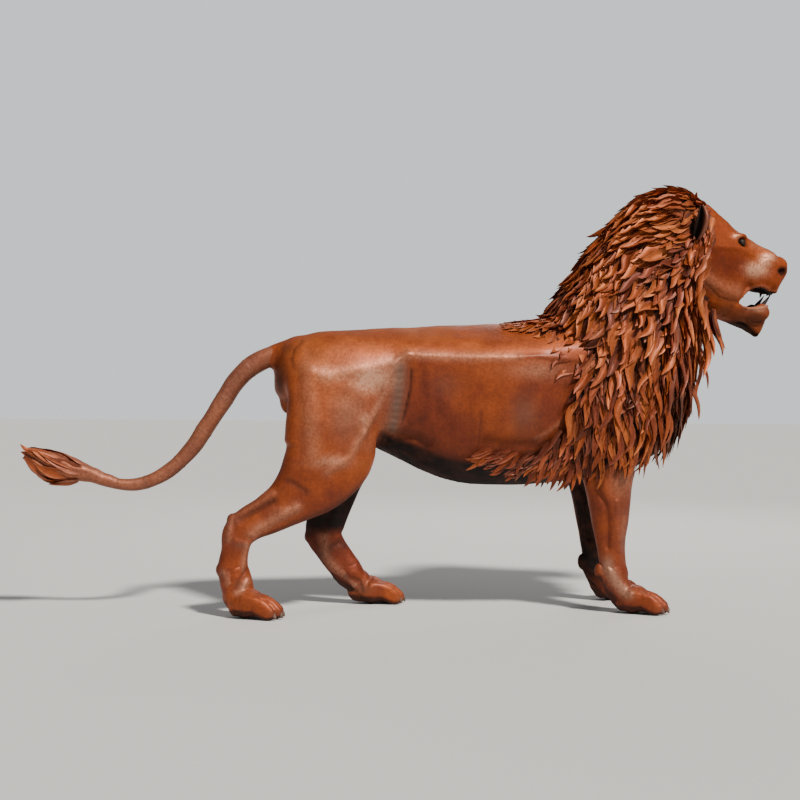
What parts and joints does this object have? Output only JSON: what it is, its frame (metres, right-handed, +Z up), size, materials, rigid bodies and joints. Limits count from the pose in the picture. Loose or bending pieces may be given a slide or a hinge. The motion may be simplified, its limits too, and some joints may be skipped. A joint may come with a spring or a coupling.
{
  "type": "lion sculpture",
  "caption": "Life-size walking lion of welded, rusted steel sheet with a mane of pointed steel locks, an open mouth and a long curved tail with a tuft.",
  "frame": {"origin": "on the ground, under the middle of the box that holds the whole lion", "axes": "+X towards the nose, +Y towards the lion's left side, +Z up"},
  "size_m": [3.1972, 0.6805, 1.7846],
  "materials": {
    "rusted_steel": "weathered steel sheet with a waxed orange-brown rust",
    "mane_steel": "rusted steel blades, darker in the gaps and worn grey-brown on the edges",
    "dark_steel": "dark steel, rubbed smooth"
  },
  "bodies": {
    "root": {"body": "rusted_steel", "mane": "mane_steel", "tail": "rusted_steel", "tail_tuft": "mane_steel", "ear_left": "rusted_steel", "ear_right": "rusted_steel", "eye_left": "dark_steel", "eye_right": "dark_steel", "upper_canine_left": "dark_steel", "upper_canine_right": "dark_steel", "lower_canine_left": "dark_steel", "lower_canine_right": "dark_steel"}
  },
  "joints": []
}
